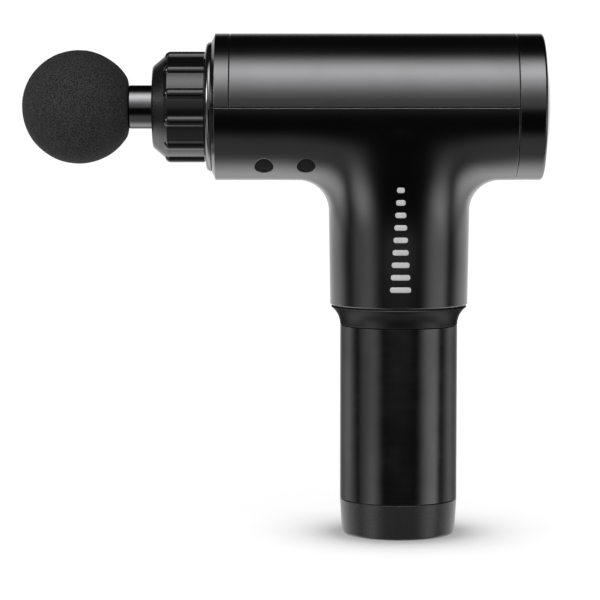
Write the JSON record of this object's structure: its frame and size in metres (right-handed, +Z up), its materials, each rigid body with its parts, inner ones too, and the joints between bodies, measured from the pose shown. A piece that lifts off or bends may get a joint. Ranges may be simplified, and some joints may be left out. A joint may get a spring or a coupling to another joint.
{
  "type": "massage gun",
  "caption": "T-shaped handheld percussion massager: a foam ball on a driven plunger, a round barrel with a ribbed nose, and a screw-on battery handle that it stands on.",
  "frame": {"origin": "centre of the battery handle's base, on the surface it stands on", "axes": "+Z up the handle, +X along the barrel towards the rear display, -X towards the massage ball"},
  "size_m": [0.2242, 0.0622, 0.2136],
  "materials": {
    "casing": "satin",
    "ring_metal": "satin",
    "slide_plastic": "satin",
    "gloss_trim": "gloss",
    "lens_tint": "gloss",
    "tube_skin": "satin",
    "cap_plastic": "matte",
    "inner_plastic": "matte",
    "black_rubber": "matte",
    "ball_foam": "matte",
    "plunger_metal": "satin",
    "cast_alloy": "satin",
    "machined_steel": "satin",
    "lamination_steel": "matte",
    "magnet": "satin",
    "copper": "satin",
    "contact_gold": "gloss",
    "bronze": "satin",
    "board": "satin",
    "wire_jacket": "satin",
    "cell_sleeve": "gloss",
    "holder_plastic": "matte",
    "nickel": "satin"
  },
  "bodies": {
    "battery": {"battery_neck": "gloss_trim", "battery_tube": "tube_skin", "battery_end_cap": "cap_plastic", "battery_cells": "cell_sleeve", "cell_holders": "holder_plastic", "nickel_strips": "nickel", "bms_board": "board", "contact_rings": "contact_gold", "base_board": "board", "charge_port": "machined_steel", "switch_body": "inner_plastic", "end_cap_screws": "machined_steel"},
    "gasket": {"battery_gasket": "black_rubber"},
    "housing": {"main_body": "casing", "front_arch": "casing", "top_cover": "casing", "rear_ring": "ring_metal", "cover_screws": "machined_steel", "screw_plugs": "black_rubber", "touch_lens": "lens_tint", "display_module": "inner_plastic", "display_board": "board", "display_cable": "wire_jacket", "nose_plate": "inner_plastic", "nose_screws": "machined_steel", "nose_bezel": "gloss_trim", "nose_collar": "gloss_trim", "plunger_wiper": "black_rubber", "guide_bush": "slide_plastic", "drive_frame": "inner_plastic", "frame_dampers": "black_rubber", "frame_screws": "machined_steel", "motor_case": "machined_steel", "motor_front_bell": "cast_alloy", "motor_bearings": "machined_steel", "motor_screws": "machined_steel", "stator_core": "lamination_steel", "stator_coils": "copper", "motor_wires": "wire_jacket", "control_board": "board", "contact_board": "board", "pin_barrels": "contact_gold", "battery_socket": "inner_plastic", "socket_screws": "machined_steel"},
    "crank": {"motor_shaft": "machined_steel", "rotor_core": "lamination_steel", "rotor_magnets": "magnet", "crank_disc": "machined_steel"},
    "plunger": {"plunger": "plunger_metal", "wrist_pin": "machined_steel"},
    "rod": {"connecting_rod": "cast_alloy", "big_end_bearing": "machined_steel", "crank_pin": "machined_steel", "small_end_bush": "bronze"},
    "head": {"massage_ball": "ball_foam", "head_stem": "inner_plastic", "stem_o_rings": "black_rubber"},
    "pins": {"contact_pins": "contact_gold"},
    "switch": {"base_switch": "black_rubber"}
  },
  "joints": [
    {"name": "battery_twist", "type": "hinge", "parent": "battery", "child": "gasket", "pos_m": [0, 0, 0.0525], "axis": [0, 0, 1], "range_deg": [-0.5, 150.5]},
    {"name": "battery_lift", "type": "slide", "parent": "gasket", "child": "housing", "axis": [0, 0, 1], "range_m": [0, 0.014]},
    {"name": "pin_spring", "type": "slide", "parent": "housing", "child": "pins", "axis": [0, 0, -1], "range_m": [0, 0.00101]},
    {"name": "plunger_stroke", "type": "slide", "parent": "housing", "child": "plunger", "axis": [-1, 0, 0], "range_m": [0, 0.012]},
    {"name": "motor_turn", "type": "hinge", "parent": "housing", "child": "crank", "pos_m": [0.004, 0, 0.1741], "axis": [0, 0, 1], "range_deg": [-0.5, 180.5]},
    {"name": "rod_swing", "type": "hinge", "parent": "plunger", "child": "rod", "pos_m": [-0.04, 0, 0.1825], "axis": [0, 0, 1], "range_deg": [-7, 7]},
    {"name": "head_pull", "type": "slide", "parent": "plunger", "child": "head", "axis": [-1, 0, 0], "range_m": [0, 0.028]},
    {"name": "power_switch", "type": "slide", "parent": "battery", "child": "switch", "axis": [1, 0, 0], "range_m": [0, 0.003]}
  ],
  "couplings": [
    {"joint": "motor_turn", "follows": "plunger_stroke", "rad_per_m": 261.8},
    {"joint": "battery_twist", "follows": "battery_lift", "rad_per_m": 187},
    {"joint": "pin_spring", "follows": "battery_lift", "ratio": 0.071429}
  ]
}
